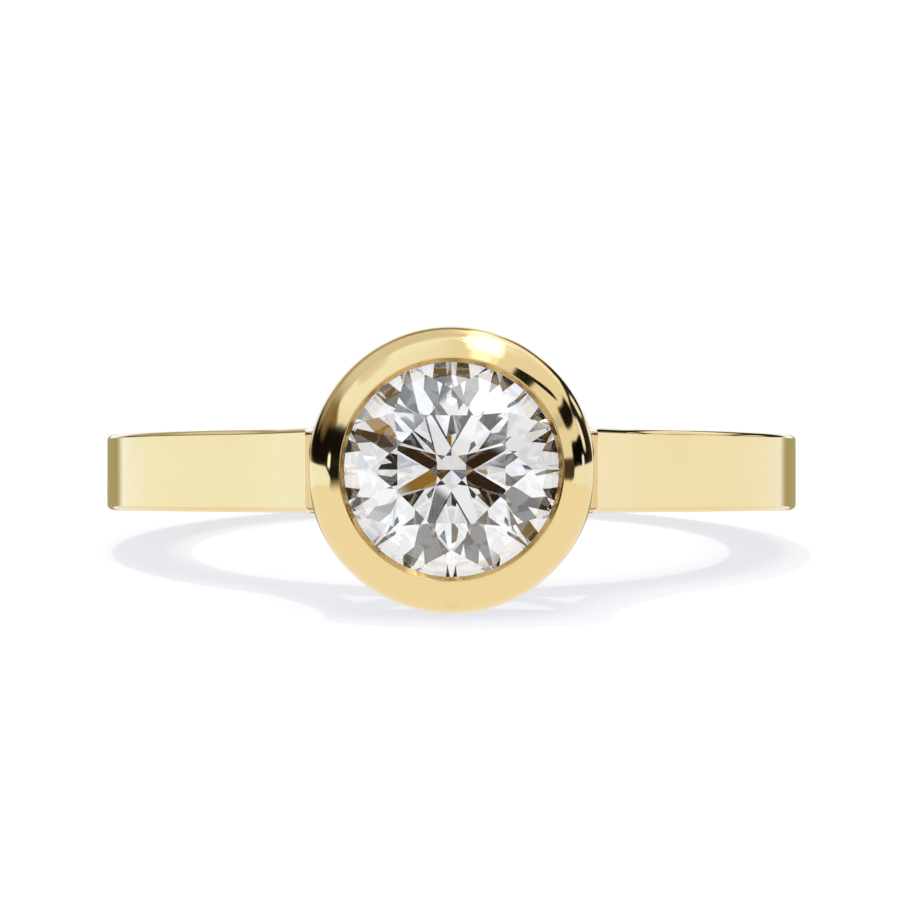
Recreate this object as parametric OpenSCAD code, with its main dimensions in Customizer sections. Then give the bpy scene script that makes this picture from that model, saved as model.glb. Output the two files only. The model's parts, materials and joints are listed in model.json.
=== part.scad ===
// Diamond solitaire ring: a round brilliant held in a plain bezel, on a flat band whose shoulders sweep
// up to the head. It lies on its side, as a ring does on a table: the rim of the bezel and the back edge
// of the band touch the ground, so the stone looks slightly upwards.
//
// Both parts are drawn in the ring's own frame and then laid down: the finger runs along Z through the
// origin, and the stone sits out along +Y. A height is a distance from the finger's axis along +Y.

/* [Band] */
// Radius of the finger hole (8.45 is US size 6.5)
finger_r = 8.45; // [8.2:0.05:8.6]
// Radial thickness of the band
band_t = 2.2; // [2.1:0.05:2.3]
// Width of the band along the finger
band_w = 2.3; // [2:0.1:2.6]
// Size of the bevel on the band's edges
edge = 0.12; // [0.05:0.01:0.2]

/* [Shoulders] */
// Slope of the straight stretch of a shoulder
shoulder_slope = 61; // [60:0.5:62]
// Height of that stretch, 4 mm out from the middle
shoulder_height = 11.7; // [11.5:0.05:11.9]
// Radius of the sweep from the band into a shoulder
sweep_r = 5.5; // [5:0.1:6]
// Radius of the tighter sweep where a shoulder turns up beside the bezel
turn_r = 1.5; // [1:0.1:1.8]
// Slope of the flank beside the bezel
flank_slope = 77; // [75:0.5:79]
// Half the width of the head at a height of 12.2 mm, on that flank
flank_x = 3.82; // [3.75:0.01:3.9]

/* [Basket] */
// Thickness of the rail that carries on round the finger under the stone
rail_t = 1.4; // [1.2:0.05:1.5]
// Height of the centre of the round basket under the stone
basket_h = 12.65; // [12.5:0.05:12.8]
// Inner radius of the basket, and of the bezel behind the stone
basket_r = 2.42; // [2.3:0.02:2.5]
// Thickness of the basket
basket_t = 0.8; // [0.7:0.05:0.9]
// Distance of a window's outer corner from the middle; there is a window each side of the basket
window_x = 3.75; // [3.6:0.05:3.9]
// Distance of a window's top corner from the middle
window_top_x = 2.95; // [2.85:0.05:3]
// Height of a window's top corner
window_top_h = 11.05; // [11:0.05:11.2]

/* [Bezel] */
// Height of its back face
base_h = 12.3; // [12.2:0.05:12.4]
// Outer radius of the bezel
bezel_r = 3.765; // [3.7:0.01:3.85]
// Radius of the round that its outside is turned to
bezel_round = 1.1; // [1:0.05:1.15]
// Height at which it is widest
bezel_h = 13.28; // [13.1:0.02:13.4]
// Slope of its face next to the stone
face_slope = 24; // [20:1:28]
// Radius of the crest round the stone
crest_r = 2.88; // [2.86:0.01:2.95]
// Radius of the lip's lower edge, which laps over the stone
lip_r = 2.77; // [2.74:0.01:2.8]
// Depth of the bright-cut inner wall of the lip
lip_depth = 0.3; // [0.25:0.01:0.35]

/* [Diamond] */
// Radius of the stone at its girdle (2.9 is about three quarters of a carat)
stone_r = 2.9; // [2.85:0.01:2.95]
// Width of the table as a share of the stone's diameter, from corner to corner
table_share = 0.525; // [0.5:0.005:0.6]
// Slope of the main crown facets
crown_slope = 34.5; // [32:0.5:36]
// Slope of the main pavilion facets
pavilion_slope = 40.75; // [40.25:0.25:41.5]
// Thickness of the girdle at the main facets
girdle_t = 0.16; // [0.12:0.02:0.2]
// Length of the star facets as a share of the way from table to girdle
star_share = 0.5; // [0.45:0.01:0.55]
// Length of the lower halves as a share of the way from girdle to point
lower_share = 0.78; // [0.75:0.01:0.82]
// Clearance left round the stone in its seat
seat_gap = 0.05; // [0.04:0.01:0.06]

/* [Hidden] */
$fn = 96;

// The places at which the shoulder's height and the flank's half width are stated above
shoulder_x = 4;
flank_height = 12.2;

// Where the parts sit; the shoulders end inside the bezel, just short of its widest line
shoulder_lap = 0.05;
flank_top = bezel_h - shoulder_lap;
band_r = finger_r + band_t;
rail_r = finger_r + rail_t;
round_r = bezel_r - bezel_round;
face_r = round_r + bezel_round * sin(face_slope);
face_h = bezel_h + bezel_round * cos(face_slope);
crest_h = face_h + (face_r - crest_r) * tan(face_slope);
girdle_h = crest_h - lip_depth - girdle_t / 2 - (stone_r - lip_r) * tan(crown_slope) - seat_gap;

// The stone's proportions, from the girdle's middle plane; each half facet's edge follows the round
// girdle in a few flats
facets = 8;
flats = 4;
step = 360 / facets;
table_r = table_share * stone_r;
table_flat = table_r * cos(step / 2);
table_h = girdle_t / 2 + (stone_r - table_r) * tan(crown_slope);
point_h = -girdle_t / 2 - stone_r * tan(pavilion_slope);
star_r = table_flat + star_share * (stone_r - table_flat);
star_h = girdle_t / 2 + (stone_r - star_r * cos(step / 2)) * tan(crown_slope);
star_slope = atan((table_h - star_h) / (star_r - table_flat));
lower_r = stone_r * (1 - lower_share);
lower_h = -girdle_t / 2 - (stone_r - lower_r * cos(step / 2)) * tan(pavilion_slope);
upper_half_slope = atan((star_h - girdle_t / 2) / ((stone_r - star_r) * cos(step / 4)));
lower_half_slope = atan((-girdle_t / 2 - lower_h) / ((stone_r - lower_r) * cos(step / 4)));

// How the ring lies: the bezel's round and the band's back corner both touch the ground
back_y = -(band_r - edge);
back_z = -band_w / 2;
tilt = atan((round_r + back_z) / (bezel_h - back_y))
     + asin(bezel_round / norm([round_r + back_z, bezel_h - back_y]));
lift = -(back_y * sin(tilt) + back_z * cos(tilt));
front_y = (girdle_h + table_h) * cos(tilt) + table_flat * sin(tilt);
rear_y = -band_r * cos(tilt) - (band_w / 2 - edge) * sin(tilt);

// A point at a distance from the origin, at an angle from +Y towards +X, and a row of them on an arc
function polar(r, a) = [r * sin(a), r * cos(a)];
function arc(centre, r, from, to, steps) =
    [for (i = [0 : steps]) centre + polar(r, from + (to - from) * i / steps)];

// A line of the outline is kept as the slope of its face and its distance from the finger's axis
function reach(slope, point) = point * polar(1, slope);

// Centre of a round of radius r that is tangent to two such lines, outside both
function between(slope_a, reach_a, slope_b, reach_b, r) =
    let (a = polar(1, slope_a), b = polar(1, slope_b), d = a[0] * b[1] - a[1] * b[0],
         p = reach_a + r, q = reach_b + r)
    [(p * b[1] - q * a[1]) / d, (q * a[0] - p * b[0]) / d];

// One shoulder in plan: a sweep out of the plain band, a straight stretch, a turn and the flank
shoulder_reach = reach(shoulder_slope, [shoulder_x, shoulder_height]);
flank_reach = reach(flank_slope, [flank_x, flank_height]);
sweep_far = band_r + sweep_r;
sweep_near = shoulder_reach + sweep_r;
sweep_start = shoulder_slope - acos(sweep_near / sweep_far);
sweep_centre = polar(sweep_far, sweep_start);
turn_centre = between(shoulder_slope, shoulder_reach, flank_slope, flank_reach, turn_r);
flank_top_x = flank_x - (flank_top - flank_height) / tan(flank_slope);
shoulder_line = [polar(band_r, sweep_start), sweep_centre, sweep_centre - polar(sweep_r, shoulder_slope),
                 turn_centre - polar(turn_r, shoulder_slope), turn_centre,
                 turn_centre - polar(turn_r, flank_slope), [flank_top_x, flank_top]];

// Lays a part down as the whole ring lies
module laid_down() {
    translate([0, (front_y + rear_y) / 2, lift])
        rotate([-tilt, 0, 0])
            rotate([0, 0, 180])
                children();
}

// Turns a part that is made along Z so that it stands out along the stone's height
module along_height() {
    rotate([-90, 0, 0]) children();
}

module both_sides() {
    children();
    mirror([1, 0, 0]) children();
}

// The plain hoop, bevelled along its outer edges
module band() {
    half_w = band_w / 2;
    rotate_extrude()
        polygon([[finger_r, -half_w], [band_r - edge, -half_w], [band_r, edge - half_w],
                 [band_r, half_w - edge], [band_r - edge, half_w], [finger_r, half_w]]);
}

// A round cut through the ring's whole width, with its two edges bevelled
module round_cut(r) {
    translate([0, 0, -band_w]) cylinder(r = r, h = 2 * band_w);
    for (side = [0, 1]) mirror([0, 0, side])
        translate([0, 0, band_w / 2 - edge]) cylinder(r1 = r, r2 = r + 2 * edge, h = 2 * edge);
}

// The same bevel along a straight stretch of the outline, with the metal on its right hand
module straight_bevel(from, to) {
    for (side = [0, 1]) mirror([0, 0, side])
        translate([from[0], from[1], band_w / 2])
            rotate([0, 0, atan2(to[1] - from[1], to[0] - from[0])]) rotate([90, 0, 90])
                linear_extrude(norm(to - from)) polygon([[edge, edge], [-2 * edge, edge], [edge, -2 * edge]]);
}

// Both shoulders and what lies between them, bevelled like the band that they run into
module shoulders() {
    both_sides() difference() {
        translate([0, 0, -band_w / 2]) linear_extrude(band_w)
            polygon(concat([[0, finger_r], polar(finger_r + edge, sweep_start)], shoulder_line, [[0, flank_top]]));
        translate(sweep_centre) round_cut(sweep_r);
        translate(turn_centre) round_cut(turn_r);
        straight_bevel(shoulder_line[2], shoulder_line[3]);
        straight_bevel(shoulder_line[5], shoulder_line[6]);
    }
}

// Plan of what is open in the head: the basket's inside, and a window on each side of it
module head_openings() {
    translate([0, basket_h]) circle(basket_r);
    translate([-basket_r, basket_h]) square([2 * basket_r, crest_h - basket_h]);
    difference() {
        both_sides() polygon([[0, finger_r], polar(rail_r, asin(window_x / rail_r)),
                              [window_top_x, window_top_h], [0, basket_h]]);
        circle(rail_r);
        translate([0, basket_h]) circle(basket_r + basket_t);
    }
}

module head() {
    difference() {
        shoulders();
        translate([0, 0, -band_w]) linear_extrude(2 * band_w) head_openings();
    }
}

// The bezel is turned: a rounded collar with a lip over the stone's edge and a bearing under it
module bezel() {
    bearing_r = stone_r + seat_gap;
    bearing_h = girdle_h - girdle_t / 2 - seat_gap;
    along_height() rotate_extrude()
        polygon(concat(
            [[basket_r, base_h]],
            arc([round_r, bezel_h], bezel_round, 90 + asin((bezel_h - base_h) / bezel_round), face_slope, 24),
            [[crest_r, crest_h],
             [lip_r, crest_h - lip_depth],
             [bearing_r, girdle_h + girdle_t / 2 + seat_gap],
             [bearing_r, bearing_h],
             [basket_r, bearing_h - (bearing_r - basket_r) * tan(pavilion_slope)]]));
}

module ring_body() {
    color("#EAD096") laid_down() difference() {
        union() {
            band();
            head();
            bezel();
        }
        round_cut(finger_r);
    }
}

// The stone's corners, ring by ring from the table down: those on the main facets' lines are turned by
// half a step, and the girdle's two edges dip where a half facet cuts deepest into the round
function corners(r, h, turn) = [for (i = [0 : facets - 1]) [r * cos(i * step + turn), r * sin(i * step + turn), h]];
function girdle_edge(side, slope) =
    [for (j = [0 : 2 * facets * flats - 1], turn = j * step / 2 / flats,
          dip = stone_r * (cos(((j % flats) / flats - 0.5) * step / 2) - cos(step / 4)) * tan(slope))
        [stone_r * cos(turn), stone_r * sin(turn), side * (girdle_t / 2 - dip)]];

// The stone is facets and nothing else: each list of faces goes once round it
module round_brilliant() {
    girdle_n = 2 * facets * flats;
    star = facets;
    upper = star + facets;
    lower = upper + girdle_n;
    tail = lower + girdle_n;
    tip = tail + facets;
    points = concat(corners(table_r, table_h, step / 2), corners(star_r, star_h, 0),
                    girdle_edge(1, upper_half_slope), girdle_edge(-1, lower_half_slope),
                    corners(lower_r, lower_h, 0), [[0, 0, point_h]]);
    table = [[for (i = [facets - 1 : -1 : 0]) i]];
    stars = [for (i = [0 : facets - 1]) [(i + facets - 1) % facets, i, star + i]];
    mains = [for (i = [0 : facets - 1]) [i, star + (i + 1) % facets, upper + (2 * i + 1) * flats, star + i]];
    upper_halves = [for (k = [0 : 2 * facets - 1])
        concat([star + ceil(k / 2) % facets], [for (j = [flats : -1 : 0]) upper + (k * flats + j) % girdle_n])];
    girdle = [for (j = [0 : girdle_n - 1], next = (j + 1) % girdle_n)
        [upper + j, upper + next, lower + next, lower + j]];
    lower_halves = [for (k = [0 : 2 * facets - 1])
        concat([tail + ceil(k / 2) % facets], [for (j = [0 : flats]) lower + (k * flats + j) % girdle_n])];
    lower_mains = [for (i = [0 : facets - 1]) [tip, tail + i, lower + (2 * i + 1) * flats, tail + (i + 1) % facets]];
    polyhedron(points, concat(table, stars, mains, upper_halves, girdle, lower_halves, lower_mains));
}

module diamond() {
    color("#EEF2F6") laid_down() along_height() translate([0, 0, girdle_h]) round_brilliant();
}

ring_body();
diamond();
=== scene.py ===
import json
import math

import bmesh
import bpy
from mathutils import Matrix, Vector
from mathutils.geometry import tessellate_polygon


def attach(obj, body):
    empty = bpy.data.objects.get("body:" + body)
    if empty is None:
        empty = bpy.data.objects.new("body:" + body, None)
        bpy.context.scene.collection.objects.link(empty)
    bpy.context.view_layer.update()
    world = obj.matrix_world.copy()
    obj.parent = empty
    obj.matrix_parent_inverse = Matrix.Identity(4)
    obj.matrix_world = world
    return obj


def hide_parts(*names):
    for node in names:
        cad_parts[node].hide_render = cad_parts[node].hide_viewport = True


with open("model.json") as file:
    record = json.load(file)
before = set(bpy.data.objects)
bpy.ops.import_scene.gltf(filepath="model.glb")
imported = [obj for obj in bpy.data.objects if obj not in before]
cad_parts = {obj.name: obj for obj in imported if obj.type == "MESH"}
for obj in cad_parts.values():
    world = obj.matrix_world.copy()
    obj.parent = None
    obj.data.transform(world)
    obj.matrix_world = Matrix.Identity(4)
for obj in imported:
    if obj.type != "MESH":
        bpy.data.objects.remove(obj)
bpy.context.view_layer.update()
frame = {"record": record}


# Band, rail, shoulders and basket
#
# The hoop and its head are one casting in yellow gold, flat on both sides, filed to a soft edge and
# polished bright. The shoulders sweep up beside a round basket, which stands on the rail that carries on
# round the finger. Sizes are in mm, in the ring's own frame: the finger runs along Z through the origin,
# and the stone sits out along +Y.

hole_radius = 8.45
band_radius = 10.65
band_width = 2.3
outer_bevel = 0.2
hole_bevel = 0.16
window_bevel = 0.07
crease_turn = 25
crease_radius_share = 0.2
filed_steps = 8
crease_steps = 4

sweep_start = 36.286
sweep_centre = Vector((9.55782, 13.0181))
sweep_radius = 5.5
shoulder_slope = 61
turn_centre = Vector((5.30348, 12.4425))
turn_radius = 1.5
flank_slope = 77
head_top = 13.23
head_corner_radius = 0.25

basket_centre = Vector((0, 12.65))
basket_inner_radius = 2.46
basket_outer_radius = 3.22
rail_radius = 9.85
window_foot = Vector((3.75, 9.108))
window_top = Vector((2.95, 11.05))
window_corner_radius = 0.1


def facing(angle):
    """A direction in the plan, measured from the stone's side towards +X."""
    return Vector((math.sin(math.radians(angle)), math.cos(math.radians(angle))))


def angle_of(direction):
    return math.degrees(math.atan2(direction.x, direction.y))


def bend(centre, radius, first, last, steps):
    """A round stretch of an outline, as (point, outward normal) pairs; a negative radius is a hollow."""
    turns = [first + (last - first) * step / steps for step in range(steps + 1)]
    return [(centre + radius * facing(turn), facing(turn)) for turn in turns]


def fillet(centre, radius, first, last, steps):
    """A hollow corner, turned the short way from one normal to the next."""
    return bend(centre, -radius, first, first + (last - first + 180) % 360 - 180, steps)


def mirrored(outline):
    """The same stretch on the other side of the ring, still going round the same way."""
    return [(Vector((-point.x, point.y)), Vector((-normal.x, normal.y)))
            for point, normal in reversed(outline)]


def where_circles_meet(centre_a, radius_a, centre_b, radius_b, near):
    """The point at a distance from each of two centres, of the two that there are the nearer to a third."""
    span = centre_b - centre_a
    along = (radius_a ** 2 - radius_b ** 2 + span.length_squared) / (2 * span.length)
    across = math.sqrt(radius_a ** 2 - along ** 2)
    middle = centre_a + span.normalized() * along
    side = Vector((-span.y, span.x)).normalized() * across
    return min((middle + side, middle - side), key=lambda point: (point - near).length)


def where_line_meets(start, direction, centre, radius, near):
    """The point where a line is at a distance from a centre, the nearer to a third point."""
    middle = (centre - start).dot(direction)
    reach = math.sqrt(radius ** 2 - (centre - start - direction * middle).length_squared)
    points = [start + direction * (middle + sign * reach) for sign in (-1, 1)]
    return min(points, key=lambda point: (point - near).length)


# The outside of the plate, up the right side, over the part that the bezel hides and down into the basket
flank = facing(flank_slope)
flank_reach = flank.dot(turn_centre) - turn_radius
corner_y = head_top - head_corner_radius
outer_corner = Vector(((flank_reach - head_corner_radius - corner_y * flank.y) / flank.x, corner_y))
inner_corner = Vector((basket_inner_radius + head_corner_radius, corner_y))
right_side = (
    bend(Vector((0, 0)), band_radius, 180, sweep_start, 150)
    + bend(sweep_centre, -sweep_radius, sweep_start, shoulder_slope, 36)
    + bend(turn_centre, -turn_radius, shoulder_slope, flank_slope, 16)
    + bend(outer_corner, head_corner_radius, flank_slope, 0, 8)
    + bend(inner_corner, head_corner_radius, 0, -90, 8)
    + bend(basket_centre, -basket_inner_radius, -90, 0, 40))
outside = right_side + mirrored(right_side)[1:-1]

# The finger hole and the two windows
finger_hole = bend(Vector((0, 0)), -hole_radius, 0, 360, 300)[:-1]

post = (window_top - window_foot).normalized()
post_normal = Vector((-post.y, post.x))
post_start = window_foot + post_normal * window_corner_radius
near_toe = Vector((1.5, 9.8))
off_rail = rail_radius + window_corner_radius
off_basket = basket_outer_radius + window_corner_radius
foot = where_line_meets(post_start, post, Vector((0, 0)), off_rail, window_foot)
top = where_line_meets(post_start, post, basket_centre, off_basket, window_top)
toe = where_circles_meet(Vector((0, 0)), off_rail, basket_centre, off_basket, near_toe)
top_turn = angle_of(top - basket_centre)
toe_turn = angle_of(toe - basket_centre)
window = (
    bend(Vector((0, 0)), rail_radius, angle_of(toe), angle_of(foot), 12)
    + fillet(foot, window_corner_radius, angle_of(foot), angle_of(post_normal), 6)
    + fillet(top, window_corner_radius, angle_of(post_normal), top_turn, 6)
    + bend(basket_centre, basket_outer_radius, top_turn, toe_turn, 12)
    + fillet(toe, window_corner_radius, toe_turn, angle_of(toe), 6))


def skin(mesh, rows, closed_rows, normal_layer):
    """Faces between rows of (place, normal); every row is a closed loop. Returns the rows of vertices."""
    made = [[mesh.verts.new(place) for place, normal in row] for row in rows]
    pairs = list(zip(range(len(rows)), range(1, len(rows))))
    if closed_rows:
        pairs.append((len(rows) - 1, 0))
    for low, high in pairs:
        for here in range(len(rows[low])):
            ahead = (here + 1) % len(rows[low])
            corners = [(low, here), (low, ahead), (high, ahead), (high, here)]
            face = mesh.faces.new([made[row][column] for row, column in corners])
            for loop, (row, column) in zip(face.loops, corners):
                loop[normal_layer] = rows[row][column][1]
    return made


def as_object(name, mesh):
    """An object from finished mesh work, with its doubles merged and its faces turned outwards."""
    bmesh.ops.remove_doubles(mesh, verts=mesh.verts, dist=1e-5)
    bmesh.ops.recalc_face_normals(mesh, faces=mesh.faces)
    for face in mesh.faces:
        face.smooth = True
    data = bpy.data.meshes.new(name)
    mesh.to_mesh(data)
    mesh.free()
    thing = bpy.data.objects.new(name, data)
    bpy.context.scene.collection.objects.link(thing)
    return thing


def edge_section(bevel):
    """A filed edge with a faint crease at the wall, as rows from the face to the wall.

    A row says how far it is in from the wall and down from the face, and how far the surface has turned there
    from facing up to facing out.
    """
    filed_turn = math.radians(90 - crease_turn)
    crease_radius = bevel * crease_radius_share
    filed_radius = (bevel - crease_radius * (1 - math.sin(filed_turn))) / math.sin(filed_turn)
    section = []
    for step in range(filed_steps + 1):
        turn = filed_turn * step / filed_steps
        section.append((bevel - filed_radius * math.sin(turn), filed_radius * (1 - math.cos(turn)), turn))
    filed_down = filed_radius * (1 - math.cos(filed_turn))
    for step in range(1, crease_steps + 1):
        turn = filed_turn + (math.pi / 2 - filed_turn) * step / crease_steps
        down = filed_down + crease_radius * (math.cos(filed_turn) - math.cos(turn))
        section.append((crease_radius * (1 - math.sin(turn)), down, turn))
    return section


plate = bmesh.new()
plate_normals = plate.loops.layers.float_vector.new("polish")
rims = {-1: [], 1: []}
for outline, bevel in ((outside, outer_bevel), (finger_hole, hole_bevel),
                       (window, window_bevel), (mirrored(window), window_bevel)):
    section = edge_section(bevel)
    rows = []
    for side in (-1, 1):
        for inward, down, turn in (section if side < 0 else reversed(section)):
            height = side * (band_width / 2 - down)
            rows.append([((point - normal * inward).to_3d() + Vector((0, 0, height)),
                          (normal * math.sin(turn)).to_3d() + Vector((0, 0, side * math.cos(turn))))
                         for point, normal in outline])
    made = skin(plate, rows, False, plate_normals)
    rims[-1].append(made[0])
    rims[1].append(made[-1])
for side, loops in rims.items():
    corners = [corner for loop in loops for corner in loop]
    for triangle in tessellate_polygon([[corner.co for corner in loop] for loop in loops]):
        if len({corners[i] for i in triangle}) == 3:
            face = plate.faces.new([corners[i] for i in triangle])
            for loop in face.loops:
                loop[plate_normals] = Vector((0, 0, side))
gold_ring = as_object("gold_ring", plate)


# Bezel
#
# A collar turned from the same gold, with a rounded outside, a flat face that falls away from the stone,
# and a bright-cut lip burnished down over the stone's edge. It is soldered on top of the shoulders, so it
# is one piece with them.

bezel_steps = 288
bezel_back = 12.3
seat_radius = 2.95
lip_start = 14.05
lip_end = 14.37
lip_radius = 2.88
slack = 0.01
bezel_profile = [  # radius from the stone's axis, height along it, and how far the corner is rounded
    (2.42, bezel_back, 0.08),
    (3.765, bezel_back, 0.975),
    (3.765, 13.994, 1.1),
    (lip_radius, 14.388, 0.035),
    (2.77, 14.088, 0.015),
    (seat_radius, 13.999, 0.01),
    (seat_radius, 13.739, 0.01),
    (2.42, 13.282, 0.05)]


def rounded(corners):
    """A closed profile with its corners rounded, as (point, outward normal) pairs."""
    profile = []
    for i, (x, y, radius) in enumerate(corners):
        here = Vector((x, y))
        before = (here - Vector(corners[i - 1][:2])).normalized()
        after = (Vector(corners[(i + 1) % len(corners)][:2]) - here).normalized()
        turn = math.degrees(before.angle_signed(after))
        hollow = 1 if turn < 0 else -1
        reach = radius * math.tan(math.radians(abs(turn) / 2))
        first = Vector((before.y, -before.x))
        centre = here - before * reach - first * radius * hollow
        steps = max(4, round(abs(turn) * math.sqrt(radius) / 2))
        profile += bend(centre, radius * hollow, angle_of(first), angle_of(first) + turn, steps)
    return profile


bezel = bmesh.new()
bezel_normals = bezel.loops.layers.float_vector.new("polish")
rows = []
for point, normal in rounded(bezel_profile):
    row = []
    for step in range(bezel_steps):
        turn = math.tau * (step + 0.5) / bezel_steps
        row.append((Vector((point.x * math.cos(turn), point.y, point.x * math.sin(turn))),
                    Vector((normal.x * math.cos(turn), normal.y, normal.x * math.sin(turn)))))
    rows.append(row)
skin(bezel, rows, True, bezel_normals)
collar = as_object("collar", bezel)

# Soldering: the two become one closed skin, whose faces keep the true normals of the shape they came from
solder = gold_ring.modifiers.new("solder", "BOOLEAN")
solder.operation = "UNION"
solder.solver = "EXACT"
solder.object = collar
soldered = bpy.data.meshes.new_from_object(gold_ring.evaluated_get(bpy.context.evaluated_depsgraph_get()))
gold_ring.modifiers.remove(solder)
bpy.data.objects.remove(collar)
gold_ring.data = soldered

# How each face is finished goes with the mesh, and so does its painted shade: the lip is burnished and
# painted a deeper orange as shade, and the insides of the basket and of the bezel under the stone stay as
# they were cast and are painted dark brown as shade
# Finish numbers, which also choose the painted shade: 1 paints the lip a deeper orange, 2 paints the insides
# dark brown
polished = 0
burnished_and_shaded = 1
as_cast_and_shaded = 2
finish_and_shade_of_face = soldered.attributes.new("finish_and_shade", "FLOAT", "FACE")
for face in soldered.polygons:
    place = face.center
    from_axis = math.hypot(place.x, place.z)
    from_basket = math.hypot(place.x, place.y - basket_centre.y)
    in_basket = from_basket < basket_inner_radius + slack and abs(place.z) < band_width / 2 - outer_bevel
    in_bezel = bezel_back + slack < place.y < lip_start and from_axis < seat_radius + slack
    on_lip = lip_start < place.y < lip_end and from_axis < lip_radius
    # The inner faces of the basket and the bezel get the painted dark shade, and the lip gets the painted
    # deeper orange
    if in_basket or in_bezel:
        finish_and_shade_of_face.data[face.index].value = as_cast_and_shaded
    elif on_lip:
        finish_and_shade_of_face.data[face.index].value = burnished_and_shaded
    else:
        finish_and_shade_of_face.data[face.index].value = polished

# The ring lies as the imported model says: its finger hole gives the place and the tilt
hole = next(mount for mount in frame["record"]["mounts"] if mount["name"] == "finger_hole")
tilt = math.atan2(hole["axis"][1], hole["axis"][2])
turned = Matrix.Rotation(-tilt, 4, "X") @ Matrix.Rotation(math.pi, 4, "Z")
laid_down = Matrix.Translation(hole["pos_m"]) @ turned @ Matrix.Scale(0.001, 4)
soldered.transform(laid_down)
polish = soldered.attributes["polish"].data
soldered.normals_split_custom_set([(turned @ corner.vector).normalized() for corner in polish])
soldered.attributes.remove(soldered.attributes["polish"])


class Amount:
    """A number inside a material or the world; an expression on it adds the Math nodes that work it out."""

    def __init__(self, tree, socket):
        self.tree = tree
        self.socket = socket

    def worked(self, operation, first, second):
        values = [value.socket if isinstance(value, Amount) else value for value in (first, second)]
        node = add_node(self.tree, "ShaderNodeMath", {"operation": operation}, dict(enumerate(values)))
        return Amount(self.tree, node.outputs[0])

    def __add__(self, other):
        return self.worked("ADD", self, other)

    def __radd__(self, other):
        return self.worked("ADD", other, self)

    def __mul__(self, other):
        return self.worked("MULTIPLY", self, other)

    def __rmul__(self, other):
        return self.worked("MULTIPLY", other, self)

    def __sub__(self, other):
        return self.worked("SUBTRACT", self, other)

    def __rsub__(self, other):
        return self.worked("SUBTRACT", other, self)


def add_node(tree, kind, settings=None, sockets=None):
    """A node of a type, with its settings set first, and then its sockets, each to a value or a link."""
    node = tree.nodes.new(kind)
    for name, value in (settings or {}).items():
        setattr(node, name, value)
    for name, value in (sockets or {}).items():
        value = value.socket if isinstance(value, Amount) else value
        if isinstance(value, bpy.types.NodeSocket):
            tree.links.new(value, node.inputs[name])
        else:
            node.inputs[name].default_value = value
    return node


def new_material(name):
    """A material with an empty node tree; the tree comes back with it."""
    material = bpy.data.materials.new(name)
    material.use_nodes = True
    material.node_tree.nodes.clear()
    return material, material.node_tree


# Yellow gold: bright where it is polished, with the faintest wave and haze that a buffing wheel leaves,
# rougher on the burnished lip, which is painted a deeper orange as shade, and dull in the basket and the
# bezel's inside, which are painted dark brown as shade
gold, tree = new_material("polished_yellow_gold")
place = add_node(tree, "ShaderNodeTexCoord").outputs["Object"]
wave = add_node(tree, "ShaderNodeTexNoise", None, {"Vector": place, "Scale": 420, "Detail": 1})
haze = add_node(tree, "ShaderNodeTexNoise", None, {"Vector": place, "Scale": 2600, "Detail": 3})
tone = add_node(tree, "ShaderNodeMix", {"data_type": "RGBA"},
                {0: wave.outputs[0], 6: (0.84, 0.655, 0.32, 1), 7: (0.86, 0.675, 0.34, 1)})
finish_and_shade = Amount(tree, add_node(tree, "ShaderNodeAttribute", {"attribute_name": "finish_and_shade"}).outputs["Fac"])
# Painted shade: the burnished lip is coloured a deeper, darker orange than the rest of the gold
with_lip_painted_shade = add_node(tree, "ShaderNodeMix", {"data_type": "RGBA"},
                    {0: finish_and_shade, 6: tone.outputs[2], 7: (0.66, 0.40, 0.10, 1)})
# Painted shade: the inside of the basket and of the bezel under the stone is coloured dark brown, as in deep
# shade
with_recess_painted_shade = add_node(tree, "ShaderNodeMix", {"data_type": "RGBA"},
                     {0: finish_and_shade - burnished_and_shaded, 6: with_lip_painted_shade.outputs[2], 7: (0.11, 0.065, 0.025, 1)})
buffed = add_node(tree, "ShaderNodeBump", None,
                  {"Height": wave.outputs[0], "Strength": 0.04, "Distance": 0.0001})
metal = add_node(tree, "ShaderNodeBsdfPrincipled", None, {
    "Base Color": with_recess_painted_shade.outputs[2], "Metallic": 1.0, "Normal": buffed.outputs[0],
    "Roughness": 0.045 + 0.03 * Amount(tree, haze.outputs[0]) + 0.12 * finish_and_shade})
add_node(tree, "ShaderNodeOutputMaterial", None, {"Surface": metal.outputs[0]})
soldered.materials.clear()
soldered.materials.append(gold)

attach(gold_ring, "root")
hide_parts("ring_body")


# Diamond
#
# A round brilliant of about three quarters of a carat, cut and polished, colourless. Its facets repeat
# eight times round: table, star, main and two halves above the girdle, two halves and a main below it.
# It is held by the lip of the bezel and sits on the bearing under it.

stone_radius = 2.9
girdle_height = 13.869
girdle_thickness = 0.1
table_share = 0.516
crown_slope = 33.0
pavilion_slope = 40.79
star_share = 0.46
lower_half_share = 0.79
repeats = 8
flats_to_a_half = 6
step_angle = 360 / repeats
weld_distance = 0.0001


def at(radius, angle, height):
    """A corner of the stone, at a radius and a turn, and a height above the girdle's middle."""
    return Vector((radius * math.cos(math.radians(angle)), radius * math.sin(math.radians(angle)), height))


def cosine(angle):
    return math.cos(math.radians(angle))


def slope(angle):
    return math.tan(math.radians(angle))


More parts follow.
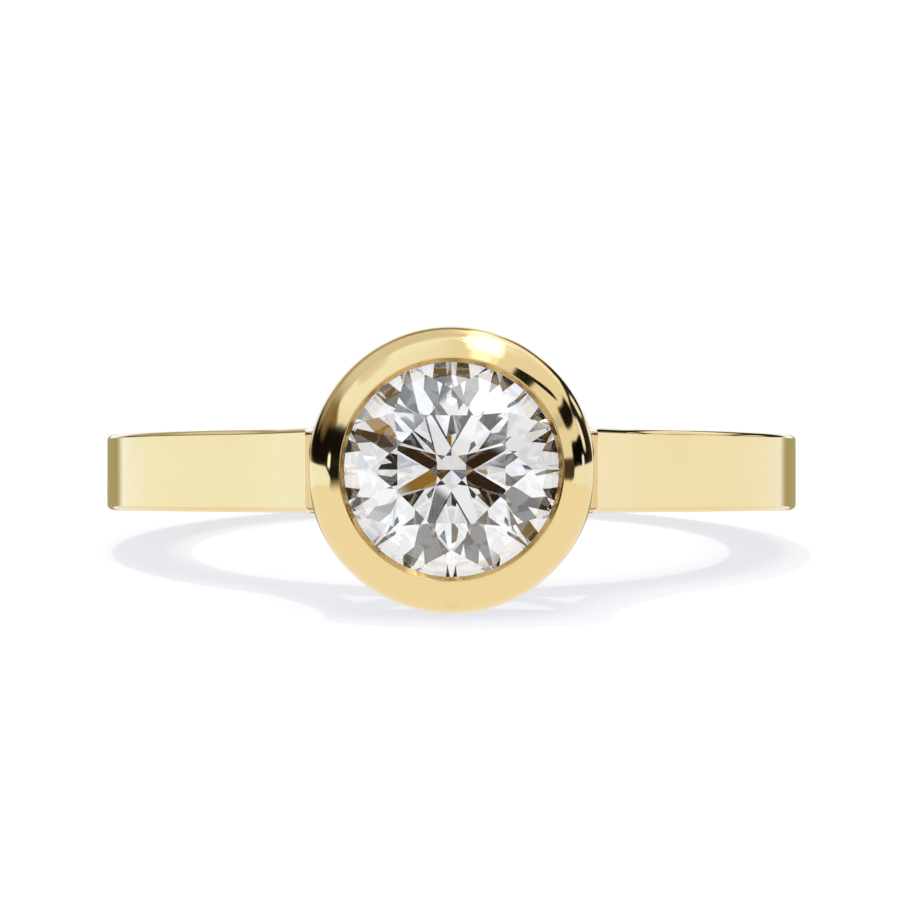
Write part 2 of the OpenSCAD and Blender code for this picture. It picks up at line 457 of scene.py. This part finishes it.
half_girdle = girdle_thickness / 2
table_radius = table_share * stone_radius
table_height = half_girdle + (stone_radius - table_radius) * slope(crown_slope)
star_radius = table_radius * cosine(step_angle / 2)
star_radius += star_share * (stone_radius - star_radius)
star_height = half_girdle + (stone_radius - star_radius * cosine(step_angle / 2)) * slope(crown_slope)
tail_radius = stone_radius * (1 - lower_half_share)
tail_height = -half_girdle - (stone_radius - tail_radius * cosine(step_angle / 2)) * slope(pavilion_slope)
point_height = -half_girdle - stone_radius * slope(pavilion_slope)
upper_fall = (star_height - half_girdle) / ((stone_radius - star_radius) * cosine(step_angle / 4))
lower_fall = (-half_girdle - tail_height) / ((stone_radius - tail_radius) * cosine(step_angle / 4))


def girdle_edge(side, fall):
    """The girdle's edge over two half facets, which dips where each cuts deepest into the round."""
    edge = []
    for flat in range(2 * flats_to_a_half + 1):
        turn = flat * step_angle / 2 / flats_to_a_half
        across = (turn % (step_angle / 2)) - step_angle / 4
        dip = stone_radius * (cosine(across) - cosine(step_angle / 4)) * fall
        edge.append(at(stone_radius, turn, side * (half_girdle - dip)))
    return edge


# One repeat, from one star to the next with the main facet between them
sector = bmesh.new()
above = girdle_edge(1, upper_fall)
below = girdle_edge(-1, lower_fall)
middle = flats_to_a_half
tables = [at(table_radius, (i - 0.5) * step_angle, table_height) for i in range(3)]
stars = [at(star_radius, i * step_angle, star_height) for i in range(2)]
tails = [at(tail_radius, i * step_angle, tail_height) for i in range(2)]
centre_of_table = Vector((0, 0, table_height))
point = Vector((0, 0, point_height))
facets = [
    [centre_of_table, tables[0], tables[1]],
    [tables[0], stars[0], tables[1]],
    [tables[1], stars[0], above[middle], stars[1]],
    [stars[0]] + above[:middle + 1],
    [stars[1]] + above[middle:],
    [tails[0]] + below[middle::-1],
    [tails[1]] + below[:middle - 1:-1],
    [point, tails[1], below[middle], tails[0]]]
facets += [[above[i], below[i], below[i + 1], above[i + 1]] for i in range(2 * middle)]
for corners in facets:
    sector.faces.new([sector.verts.new(corner) for corner in corners])
bmesh.ops.remove_doubles(sector, verts=sector.verts, dist=1e-6)
sector_mesh = bpy.data.meshes.new("one_repeat")
sector.to_mesh(sector_mesh)
sector.free()
stone = bpy.data.objects.new("round_brilliant", sector_mesh)
bpy.context.scene.collection.objects.link(stone)

# Clear diamond
clear, tree = new_material("clear_diamond")
place = add_node(tree, "ShaderNodeTexCoord").outputs["Object"]
cloud = add_node(tree, "ShaderNodeTexNoise", None, {"Vector": place, "Scale": 300, "Detail": 1})
breath = add_node(tree, "ShaderNodeMix", {"data_type": "RGBA"},
                  {0: cloud.outputs[0], 6: (1.0, 1.0, 1.0, 1), 7: (0.975, 0.98, 0.99, 1)})
glass = add_node(tree, "ShaderNodeBsdfPrincipled", None, {
    "Base Color": breath.outputs[2], "Roughness": 0.0, "IOR": 2.417, "Transmission Weight": 1.0})
add_node(tree, "ShaderNodeOutputMaterial", None, {"Surface": glass.outputs[0]})

# The repeat goes eight times round the stone's axis and its seams are welded
cutting = bpy.data.node_groups.new("facets_round_the_stone", "GeometryNodeTree")
for name, kind, way in (("Geometry", "NodeSocketGeometry", "INPUT"), ("Repeats", "NodeSocketInt", "INPUT"),
                        ("Weld", "NodeSocketFloat", "INPUT"), ("Geometry", "NodeSocketGeometry", "OUTPUT")):
    cutting.interface.new_socket(name, in_out=way, socket_type=kind)
given = add_node(cutting, "NodeGroupInput")
spots = add_node(cutting, "GeometryNodePoints", None, {"Count": given.outputs["Repeats"]})
index = add_node(cutting, "GeometryNodeInputIndex")
part_turn = add_node(cutting, "ShaderNodeMath", {"operation": "DIVIDE"},
                     {0: index.outputs[0], 1: given.outputs["Repeats"]})
full_turn = add_node(cutting, "ShaderNodeMath", {"operation": "MULTIPLY"},
                     {0: part_turn.outputs[0], 1: math.tau})
axis = add_node(cutting, "ShaderNodeCombineXYZ", None, {"Z": full_turn.outputs[0]})
round_it = add_node(cutting, "GeometryNodeInstanceOnPoints", None, {
    "Points": spots.outputs[0], "Instance": given.outputs["Geometry"], "Rotation": axis.outputs[0]})
real = add_node(cutting, "GeometryNodeRealizeInstances", None, {"Geometry": round_it.outputs[0]})
welded = add_node(cutting, "GeometryNodeMergeByDistance", None,
                  {"Geometry": real.outputs[0], "Distance": given.outputs["Weld"]})
flat_faced = add_node(cutting, "GeometryNodeSetShadeSmooth", None,
                      {"Geometry": welded.outputs[0], "Shade Smooth": False})
finished = add_node(cutting, "GeometryNodeSetMaterial", None,
                    {"Geometry": flat_faced.outputs[0], "Material": clear})
add_node(cutting, "NodeGroupOutput", None, {"Geometry": finished.outputs[0]})

cut = stone.modifiers.new("cutting", "NODES")
cut.node_group = cutting
for item in cutting.interface.items_tree:
    if item.in_out == "INPUT" and item.name == "Repeats":
        cut[item.identifier] = repeats
    if item.in_out == "INPUT" and item.name == "Weld":
        cut[item.identifier] = weld_distance
stone_mesh = bpy.data.meshes.new_from_object(stone.evaluated_get(bpy.context.evaluated_depsgraph_get()))
stone.modifiers.remove(cut)
stone.data = stone_mesh
out_along_the_height = Matrix.Rotation(-math.pi / 2, 4, "X")
stone_mesh.transform(laid_down @ Matrix.Translation((0, girdle_height, 0)) @ out_along_the_height)

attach(stone, "root")
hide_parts("diamond")


# Table
#
# A broad sheet of white acrylic, lit softly from underneath as a light table is, so that shadows on it
# stay pale. It is kept out of the gold's reflections, where the room's own pale lower half takes its place.

sheet_radius = 2.0
glow = (0.692, 0.684, 0.762, 1)
sheet = bmesh.new()
bmesh.ops.create_circle(sheet, cap_ends=True, segments=96, radius=sheet_radius)
table_object = as_object("light_table", sheet)
acrylic, tree = new_material("white_acrylic")
surface = add_node(tree, "ShaderNodeBsdfPrincipled", None, {
    "Base Color": (0.22, 0.24, 0.20, 1), "Roughness": 1.0, "Specular IOR Level": 0.0,
    "Emission Color": glow, "Emission Strength": 1.0})
add_node(tree, "ShaderNodeOutputMaterial", None, {"Surface": surface.outputs[0]})
table_object.data.materials.append(acrylic)
table_object.visible_glossy = False
table_object.visible_transmission = False


# Light
#
# Two lamps draw the pale double shadow: a hard one from above and behind, and a broad one overhead. What the
# gold and the stone reflect is the room, a white studio with lamps overhead, pale screens and dark cards.

hard = bpy.data.lights.new("hard_lamp", "SUN")
hard.energy = 1.4
hard.angle = math.radians(3)
broad = bpy.data.lights.new("broad_lamp", "SUN")
broad.energy = 1.0
broad.angle = math.radians(45)
for lamp, direction in ((hard, (-0.124, 0.278, 1)), (broad, (0, -0.05, 1))):
    lamp_object = bpy.data.objects.new(lamp.name, lamp)
    lamp_object.rotation_euler = Vector(direction).to_track_quat("Z", "Y").to_euler()
    lamp_object.visible_glossy = False
    lamp_object.visible_transmission = False
    bpy.context.scene.collection.objects.link(lamp_object)

world = bpy.data.worlds.new("studio")
bpy.context.scene.world = world
world.use_nodes = True
tree = world.node_tree
tree.nodes.clear()
towards = add_node(tree, "ShaderNodeTexCoord").outputs["Generated"]
x, y, z = [Amount(tree, socket) for socket in add_node(
    tree, "ShaderNodeSeparateXYZ", None, {"Vector": towards}).outputs]
to_degrees = 180 / math.pi

# Two ways to say where in the room something is, in degrees: round the ring by azimuth from the camera and
# elevation, and overhead by roll across and pitch to the back
around = add_node(tree, "ShaderNodeCombineXYZ", None, {
    "X": x.worked("ARCTAN2", x, y * -1) * to_degrees,
    "Y": z.worked("ARCSINE", z, 0) * to_degrees}).outputs[0]
overhead = add_node(tree, "ShaderNodeCombineXYZ", None, {
    "X": x.worked("ARCTAN2", x, z) * to_degrees,
    "Y": y.worked("ARCSINE", y, 0) * to_degrees}).outputs[0]
corner_power = 4
half_turn = (180, 180, 180)


def vector_node(operation, first, second, third=(0, 0, 0)):
    return add_node(tree, "ShaderNodeVectorMath", {"operation": operation}, {0: first, 1: second, 2: third})


def card(room, angles, centre, half, softness, lean, colour):
    """The room with one more lamp or card in it: a soft-edged bar in two angles, which leans a little."""
    offset = vector_node("SUBTRACT", angles, (centre[0], centre[1], 0)).outputs[0]
    offset = vector_node("WRAP", offset, half_turn, [-angle for angle in half_turn]).outputs[0]
    across = (1 / half[0], 0, 0)
    upwards = (-math.tan(math.radians(lean)) / half[1], 1 / half[1], 0)
    aside = Amount(tree, vector_node("DOT_PRODUCT", offset, across).outputs["Value"])
    above = Amount(tree, vector_node("DOT_PRODUCT", offset, upwards).outputs["Value"])
    inside = add_node(tree, "ShaderNodeMapRange", {"interpolation_type": "SMOOTHSTEP"}, {
        "Value": aside.worked("POWER", aside, corner_power) + above.worked("POWER", above, corner_power),
        "From Min": (1 - softness) ** corner_power, "From Max": (1 + softness) ** corner_power,
        "To Min": 1.0, "To Max": 0.0})
    mixed = add_node(tree, "ShaderNodeMix", {"data_type": "RGBA"},
                     {0: inside.outputs[0], 6: room, 7: tuple(colour) + (1,)})
    return mixed.outputs[2]


room = add_node(tree, "ShaderNodeRGB").outputs[0]
room.default_value = (0.94, 0.94, 0.94, 1)
room = card(room, around, (0, -45), (181, 45), 0.01, 0, (1, 1, 1))

# Lamps and cards round the ring, which the gold shows. Each row gives a card's middle, half its width and
# height, its softness, lean and colour, and covers the ones before it
for centre, half, softness, lean, colour in (
        ((195.4, 85), (112.2, 32), 0.59, -11, (1.06, 1.19, 1.39)),
        ((-103.3, 57.5), (41.1, 6.7), 0.54, -11, (0.89, 0.85, 0.88)),
        ((-91.7, 20.4), (41.2, 13.2), 0.17, -17, (0.24, 0.16, 0.08)),
        ((-81.6, 9.8), (56, 7.8), 0.39, 3, (0.002, 0.002, 0.002)),
        ((-84.9, 10.5), (50, 8.1), 0.6, -1, (0.008, 0.006, 0.006)),
        ((92, 78.2), (46, 4.4), 0.41, 0, (3, 3, 3)),
        ((119.1, 13.2), (23.9, 14.7), 0.05, 0, (0.03, 0.02, 0.014)),
        ((83.9, 6.3), (28.5, 7.4), 0.08, -5, (0.014, 0.009, 0.006)),
        ((75.7, 26.5), (23.1, 4.9), 0.21, 6, (0.011, 0.008, 0.006)),
        ((52.5, 39.9), (17, 3.3), 0.1, -14, (0.01, 0.008, 0.006)),
        ((76.5, 6.4), (20, 8.6), 0.08, 6, (0.002, 0.002, 0.002)),
        ((101.1, 14.4), (4.7, 6.2), 0.37, -11, (1.03, 1.13, 1.45)),
        ((89.4, 4.2), (3.4, 2.3), 0.36, -4, (1.08, 1.26, 2.05)),
        ((129.5, 18.5), (5.3, 3.1), 0.64, -17, (1, 1.08, 1.28)),
        ((174.7, 9.1), (33.6, 20.2), 0.24, 4, (1.05, 1.14, 1.31)),
        ((-148.6, 44), (44.4, 15.1), 0.6, -12, (0.31, 0.24, 0.14)),
        ((146.5, 19.5), (9.5, 12), 0.2, 0, (0.02, 0.018, 0.012)),
        ((-138.9, 36.8), (13.8, 13.7), 0.91, -10, (0.45, 0.41, 0.36)),
        ((150.7, 34.5), (11.9, 8), 0.4, -20, (0.16, 0.14, 0.12)),
        ((-34.7, 3.1), (1.2, 1.2), 0.4, -8, (2.6, 2.6, 2.6)),
        ((22.1, 49.7), (4, 2.2), 0.55, 4, (0.004, 0.003, 0.02))):
    room = card(room, around, centre, half, softness, lean, colour)

# Lamps overhead
for centre, half, softness, lean, colour in (
        ((14.9, 7.9), (6.1, 30.1), 0.56, 2, (2.86, 2.86, 2.86)),
        ((-2.9, 30.8), (22.1, 6.8), 0.7, 8, (2.39, 2.39, 2.39)),
        ((34.3, 36.8), (15, 7.1), 0.52, -19, (1.12, 1.12, 1.12)),
        ((-23.6, 22.3), (22.7, 14.3), 0.74, 9, (0.8, 0.8, 0.8))):
    room = card(room, overhead, centre, half, softness, lean, colour)

# The pale screens that the band shows, what the bezel shows beside the stone, and the dark things in front
# that the stone's facets pick up
for centre, half, softness, lean, colour in (
        ((-102, -2.95), (48, 4.3), 0.08, 5, (1.05, 1.18, 1.38)),
        ((102, -2.95), (48, 4.3), 0.08, -5, (1.03, 1.1, 1.24)),
        ((-49.5, 5), (4.5, 4.2), 0.12, 0, (0.012, 0.01, 0.008)),
        ((-60, 6), (9, 3.4), 0.15, -12, (0.012, 0.01, 0.008)),
        ((-57.5, 7.2), (4, 2.6), 0.2, 0, (1.3, 1.4, 1.6)),
        ((51.5, 4.5), (6, 4), 0.2, 0, (0.07, 0.045, 0.025)),
        ((180, -7.5), (38, 8), 0.12, 0, (0.43, 0.39, 0.21)),
        ((-6.5, 7.4), (21.4, 2.6), 0.05, -21, (0.035, 0.02, 0.01)),
        ((-13.1, -0.4), (5.7, 7.2), 0.05, 3, (0.36, 0.19, 0.03)),
        ((-2.2, 0.9), (5.4, 3), 0.05, -3, (0.055, 0.05, 0.045)),
        ((-22.4, 4.2), (9.1, 4.9), 0.05, 7, (0.05, 0.03, 0.012)),
        ((25, 11.4), (10.7, 9.2), 0.05, -10, (0.004, 0.003, 0.002)),
        ((18.7, 6.5), (12.1, 8.9), 0.05, -7, (0.03, 0.016, 0.006)),
        ((32.9, 23.4), (13.1, 3), 0.05, -13, (0.1, 0.06, 0.01)),
        ((-15.9, -2.1), (6.2, 1.1), 0.05, 20, (0.004, 0.003, 0.002)),
        ((-6.6, -7), (1.8, 4.4), 0.05, -2, (0.1, 0.09, 0.1)),
        ((18.1, 28), (9.7, 7), 0.05, 30, (0.05, 0.04, 0.03))):
    room = card(room, around, centre, half, softness, lean, colour)

# The camera itself sees plain white behind the table
reflected = add_node(tree, "ShaderNodeBackground", None, {"Color": room, "Strength": 1.0})
behind = add_node(tree, "ShaderNodeBackground", None, {"Color": (1.0, 1.0, 1.0, 1), "Strength": 1.05})
seen = add_node(tree, "ShaderNodeLightPath").outputs["Is Camera Ray"]
sky = add_node(tree, "ShaderNodeMixShader", None, {0: seen, 1: reflected.outputs[0], 2: behind.outputs[0]})
add_node(tree, "ShaderNodeOutputWorld", None, {"Surface": sky.outputs[0]})


# Camera
#
# A long lens in front of the ring, a little above the table, looking down at it by about six degrees.

camera = bpy.data.cameras.new("camera")
camera.sensor_width = 36
camera.lens = 105.1
camera.clip_start = 0.001
camera_object = bpy.data.objects.new("camera", camera)
bpy.context.scene.collection.objects.link(camera_object)
bpy.context.scene.camera = camera_object
distance = 0.082
looking_down = math.radians(5.95)
picture_width = 900
ring_centre = Vector(hole["pos_m"])
backwards = Vector((0, -math.cos(looking_down), math.sin(looking_down)))
camera_object.location = ring_centre + backwards * distance
camera_object.rotation_euler = backwards.to_track_quat("Z", "Y").to_euler()
camera.shift_y = 22.7 / picture_width
camera.shift_x = -1.5 / picture_width

scene = bpy.context.scene
scene.view_settings.view_transform = "Standard"
scene.cycles.max_bounces = 24
scene.cycles.glossy_bounces = 16
scene.cycles.transmission_bounces = 24
